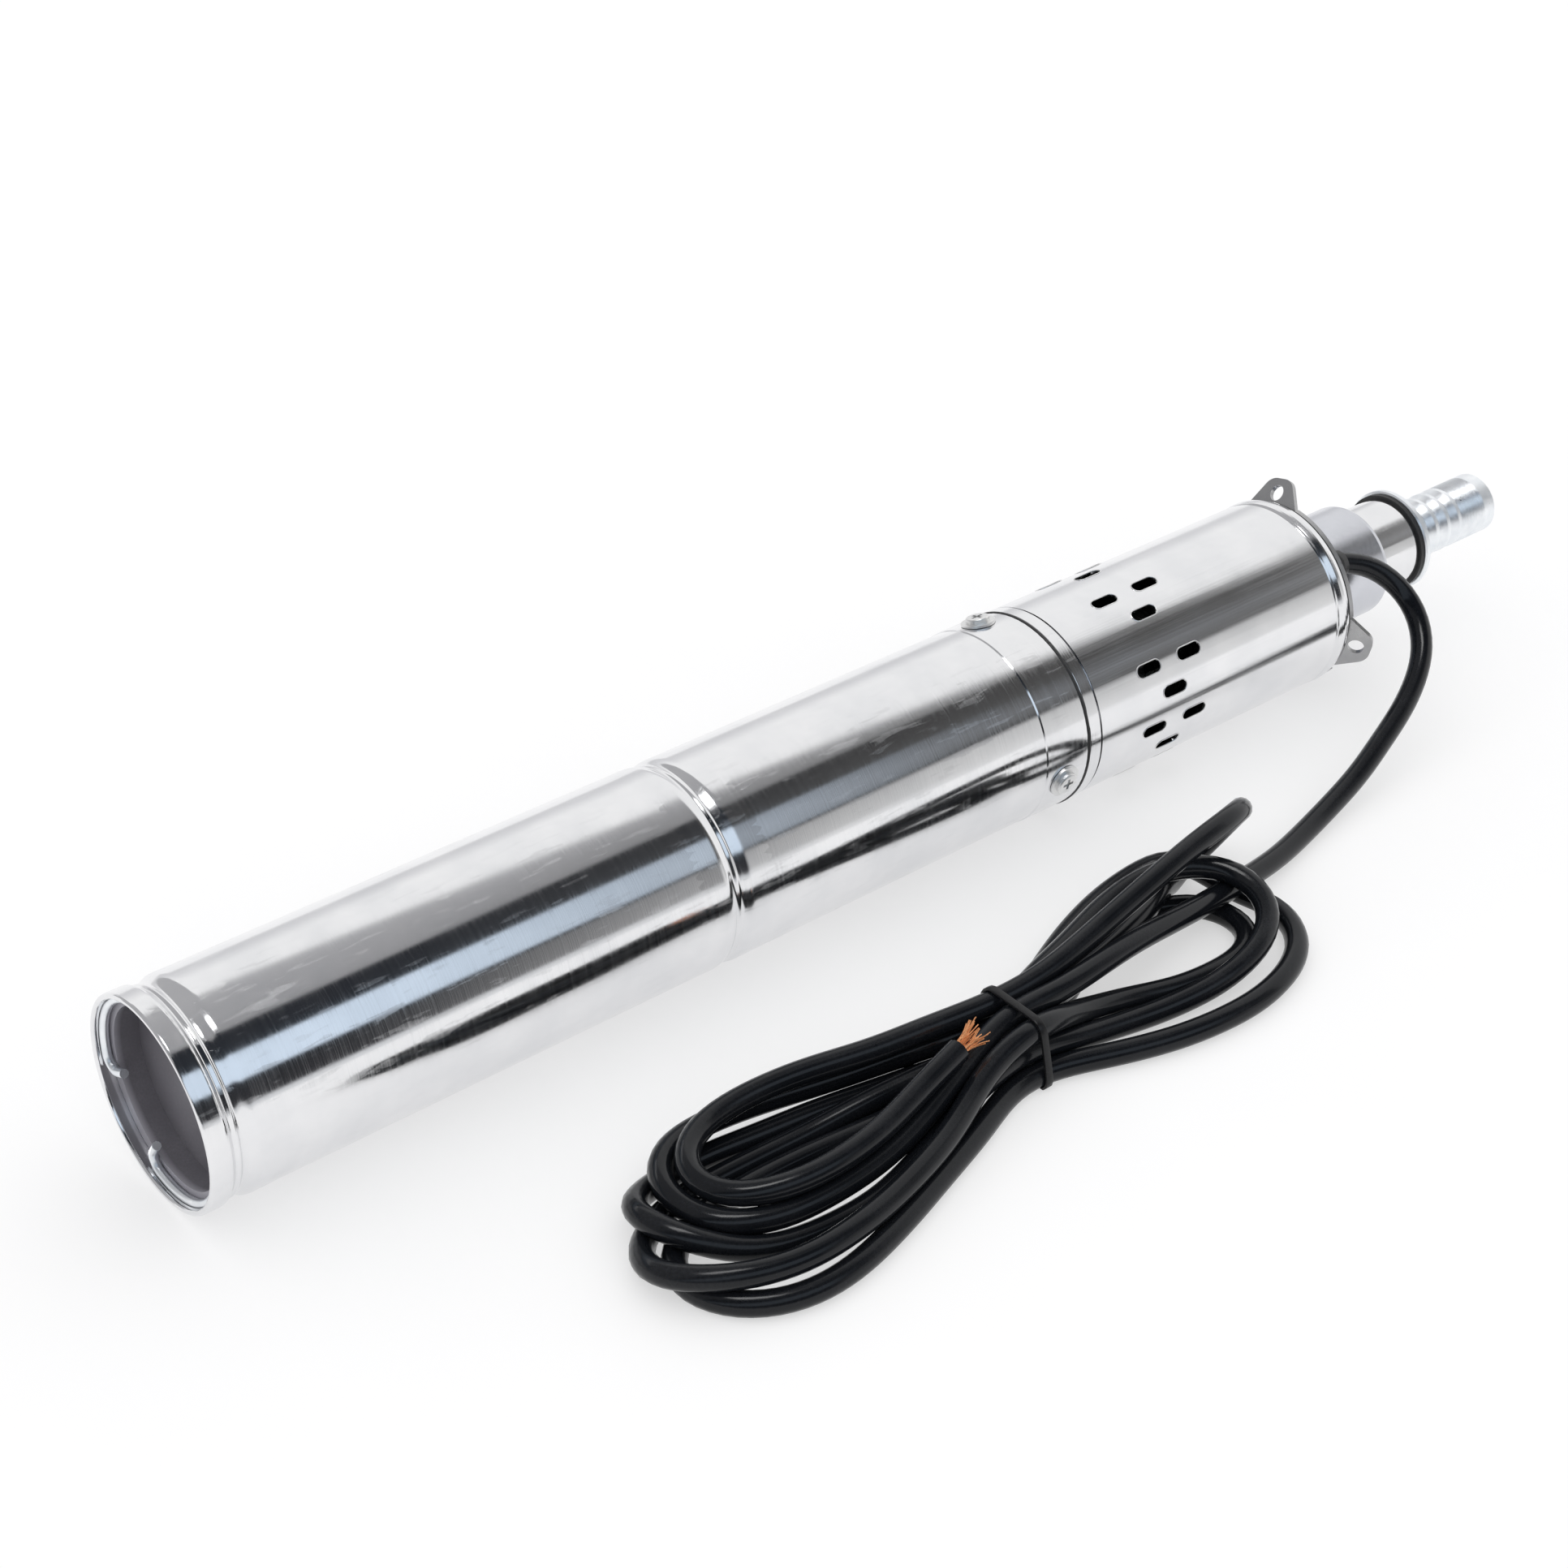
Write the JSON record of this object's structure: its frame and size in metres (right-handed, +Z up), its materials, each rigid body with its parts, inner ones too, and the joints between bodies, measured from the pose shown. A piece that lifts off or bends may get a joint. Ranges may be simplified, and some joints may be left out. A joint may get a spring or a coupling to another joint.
{
  "type": "borehole submersible pump",
  "caption": "Slim stainless borehole pump with a helical rotor, perforated intake, lifting ears, grooved hose tail and a tied power cable.",
  "frame": {"origin": "on the floor under the middle of the lying pump", "axes": "+X along the pump from the motor's closed end to the hose tail, +Z up"},
  "size_m": [0.6278, 0.2036, 0.0823],
  "materials": {
    "polished_steel": "polished stainless tube",
    "strainer_steel": "polished perforated stainless",
    "plate_steel": "brushed stainless sheet",
    "cast_grey": "satin casting",
    "zinc": "bright zinc plate",
    "cap_charcoal": "charcoal paint",
    "black_rubber": "moulded rubber",
    "cable_sheath": "glossy cable sheath",
    "copper": "bare copper",
    "winding_copper": "varnished copper wire",
    "lamination": "electrical steel",
    "machined_steel": "machined steel",
    "bearing_steel": "ground bearing steel",
    "capacitor_case": "moulded case",
    "seal_ceramic": "ceramic ring",
    "seal_carbon": "carbon ring"
  },
  "bodies": {
    "pump_body": {"motor_tube": "polished_steel", "end_cap": "cap_charcoal", "end_cap_seal": "black_rubber", "snap_ring": "zinc", "capacitor": "capacitor_case", "capacitor_rings": "black_rubber", "lower_bracket": "cast_grey", "bracket_seal": "black_rubber", "stator_core": "lamination", "stator_windings": "winding_copper", "bearing_outer_races": "bearing_steel", "bearing_balls": "bearing_steel", "seal_housing": "cast_grey", "housing_seal": "black_rubber", "seal_seat": "seal_ceramic", "body_screws": "zinc", "motor_gland": "black_rubber", "inner_cable": "cable_sheath", "lip_gasket": "black_rubber", "intake_collar": "polished_steel", "strainer": "strainer_steel", "pump_barrel": "machined_steel", "pump_stator": "black_rubber", "head_gasket": "black_rubber", "head_plate": "plate_steel", "outlet_dome": "cast_grey", "outlet_nipple": "polished_steel", "outlet_gasket": "black_rubber", "hose_tail": "zinc", "cable_gland": "black_rubber", "cable_lead": "cable_sheath", "cable_hank": "cable_sheath", "hank_tie": "black_rubber", "conductor_ends": "copper"},
    "motor_rotor": {"motor_shaft": "machined_steel", "rotor_core": "lamination", "bearing_inner_races": "bearing_steel", "seal_head": "seal_carbon", "seal_spring": "machined_steel", "drive_coupling": "machined_steel"},
    "orbiting_rod": {"connecting_rod": "machined_steel"},
    "helical_rotor": {"screw_rotor": "bearing_steel"}
  },
  "joints": [
    {"name": "motor_spin", "type": "hinge", "parent": "pump_body", "child": "motor_rotor", "pos_m": [-0.0139, 0, 0.0386], "axis": [1, 0, 0], "continuous": true},
    {"name": "rod_orbit", "type": "hinge", "parent": "pump_body", "child": "orbiting_rod", "pos_m": [0.0961, 0, 0.0386], "axis": [1, 0, 0], "continuous": true},
    {"name": "screw_spin", "type": "hinge", "parent": "orbiting_rod", "child": "helical_rotor", "pos_m": [0.1191, 0, 0.0356], "axis": [1, 0, 0], "continuous": true}
  ],
  "couplings": [
    {"joint": "rod_orbit", "follows": "motor_spin", "ratio": -1},
    {"joint": "screw_spin", "follows": "motor_spin", "ratio": 2}
  ]
}
